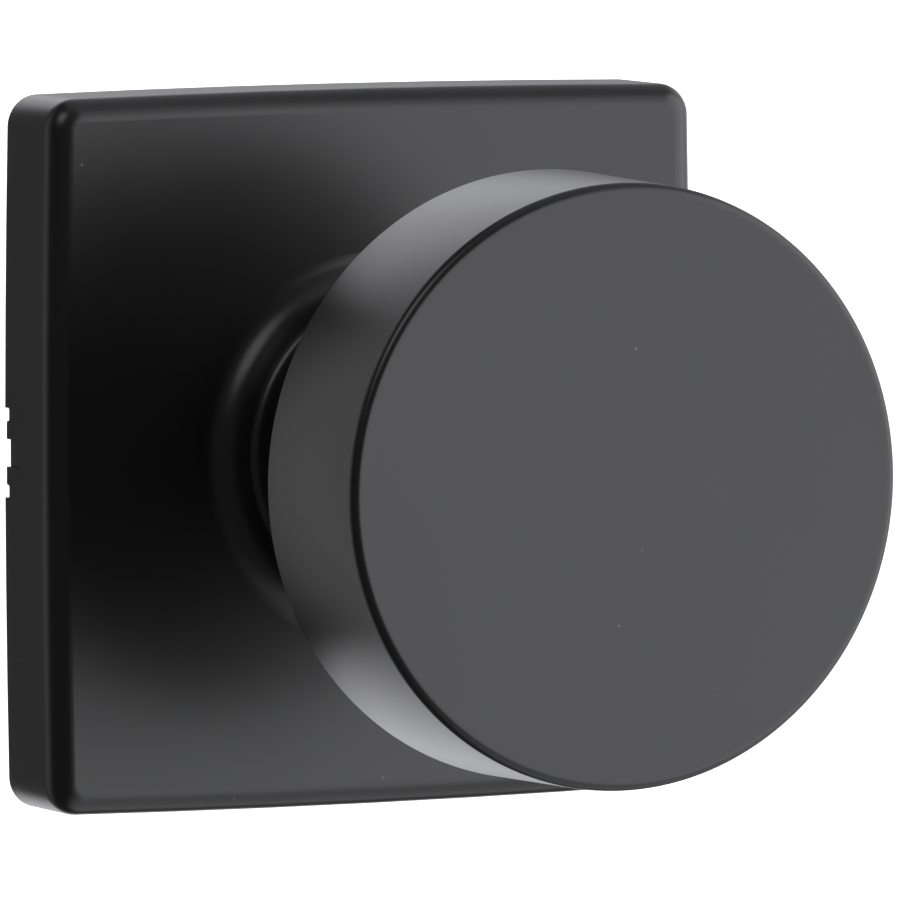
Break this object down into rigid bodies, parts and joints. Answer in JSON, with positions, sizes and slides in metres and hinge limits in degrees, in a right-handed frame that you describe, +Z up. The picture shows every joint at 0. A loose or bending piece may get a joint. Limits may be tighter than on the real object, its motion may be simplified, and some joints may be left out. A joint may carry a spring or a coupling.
{
  "type": "door knob",
  "caption": "Matte black round flat-faced knob that turns a square spindle against a return spring, on a square rose that covers a door bore.",
  "frame": {"origin": "where the spindle's centre line crosses the door's face, at the middle of the pilot ring's step", "axes": "+Z up the door, -Y out of the door towards the hand, +Y into the door along the spindle, +X to the right seen from the knob's side"},
  "size_m": [0.0674, 0.1076, 0.0674],
  "materials": {
    "matte_black": "matte powder coat",
    "zinc_plated_steel": "bright zinc plate",
    "plain_steel": "turned steel, lightly oiled",
    "spring_steel": "dark tempered spring steel",
    "cast_zinc": "as-cast zinc alloy",
    "bronze": "sintered bronze",
    "nylon": "natural nylon"
  },
  "bodies": {
    "base": {"rose": "matte_black", "mounting_plate": "zinc_plated_steel", "rose_clips": "spring_steel", "clip_rivets": "plain_steel", "mounting_screws": "zinc_plated_steel", "spring_housing": "cast_zinc", "housing_rivets": "plain_steel", "housing_cover": "zinc_plated_steel", "cover_screws": "zinc_plated_steel", "front_bushing": "bronze", "rear_bushing": "bronze", "return_spring": "spring_steel", "thrust_washer": "nylon", "spring_washer": "spring_steel"},
    "knob": {"knob_shell": "matte_black", "knob_back": "matte_black", "knob_shank": "matte_black", "shank_screws": "zinc_plated_steel", "knob_insert": "plain_steel", "drive_tube": "plain_steel", "spindle_socket": "cast_zinc", "spindle": "zinc_plated_steel", "spindle_pin": "spring_steel", "catch_guide": "nylon", "catch_spring": "spring_steel", "driver_cam": "cast_zinc", "retaining_ring": "spring_steel"},
    "catch": {"knob_catch": "spring_steel"}
  },
  "joints": [
    {"name": "knob_turn", "type": "hinge", "parent": "base", "child": "knob", "pos_m": [0, 0, 0], "axis": [0, 1, 0], "range_deg": [-60, 60], "stiffness_Nm_per_rad": 0.4, "deforming": ["return_spring"]},
    {"name": "catch_press", "type": "slide", "parent": "knob", "child": "catch", "axis": [0, 0, 1], "range_m": [0, 0.0039], "stiffness_N_per_m": 200, "deforming": ["catch_spring"]}
  ]
}
